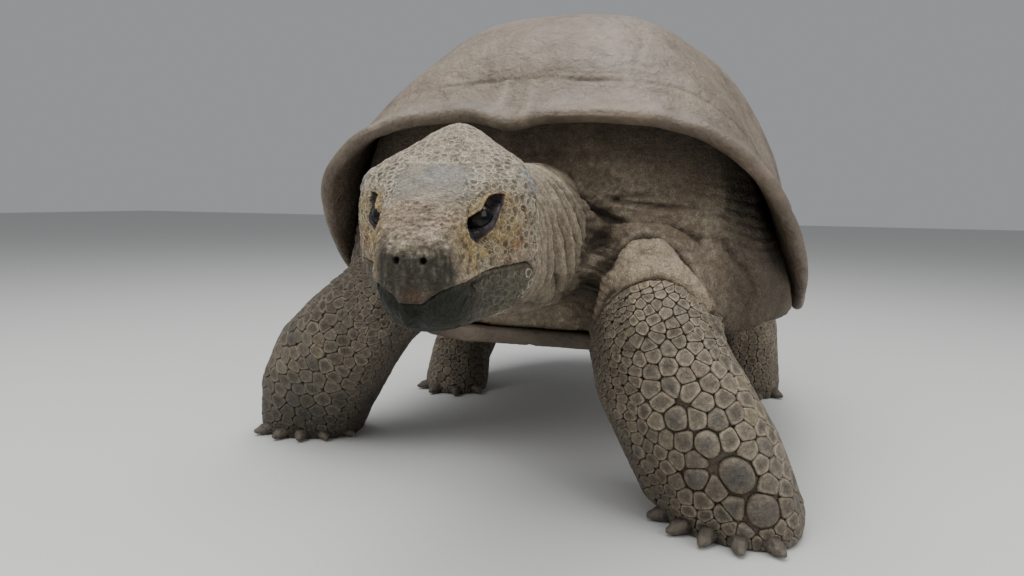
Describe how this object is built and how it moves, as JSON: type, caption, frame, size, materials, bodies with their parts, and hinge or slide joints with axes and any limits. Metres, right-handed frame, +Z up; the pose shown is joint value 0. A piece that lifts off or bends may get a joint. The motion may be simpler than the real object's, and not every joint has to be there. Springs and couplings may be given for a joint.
{
  "type": "giant tortoise",
  "caption": "Life-size still model of a giant tortoise walking with its head held low, on four columnar legs.",
  "frame": {"origin": "on the floor, under the middle of the whole model's bounding box", "axes": "+Z up, -Y the way the tortoise faces, +X towards its left side"},
  "size_m": [0.9746, 1.547, 0.768],
  "materials": {
    "shell": "worn satin horn",
    "plastron": "dull worn horn",
    "skin": "dry, wrinkled and scaly",
    "eye": "wet gloss",
    "claw": "worn horn"
  },
  "bodies": {
    "root": {"carapace": "shell", "plastron": "plastron", "trunk": "skin", "neck": "skin", "head": "skin", "lower_jaw": "skin", "foreleg_left": "skin", "foreleg_right": "skin", "hindleg_left": "skin", "hindleg_right": "skin", "tail": "skin", "eye_left": "eye", "eye_right": "eye", "foreleg_left_claw_1": "claw", "foreleg_left_claw_2": "claw", "foreleg_left_claw_3": "claw", "foreleg_left_claw_4": "claw", "foreleg_left_claw_5": "claw", "foreleg_right_claw_1": "claw", "foreleg_right_claw_2": "claw", "foreleg_right_claw_3": "claw", "foreleg_right_claw_4": "claw", "foreleg_right_claw_5": "claw", "hindleg_left_claw_1": "claw", "hindleg_left_claw_2": "claw", "hindleg_left_claw_3": "claw", "hindleg_left_claw_4": "claw", "hindleg_right_claw_1": "claw", "hindleg_right_claw_2": "claw", "hindleg_right_claw_3": "claw", "hindleg_right_claw_4": "claw"}
  },
  "joints": []
}
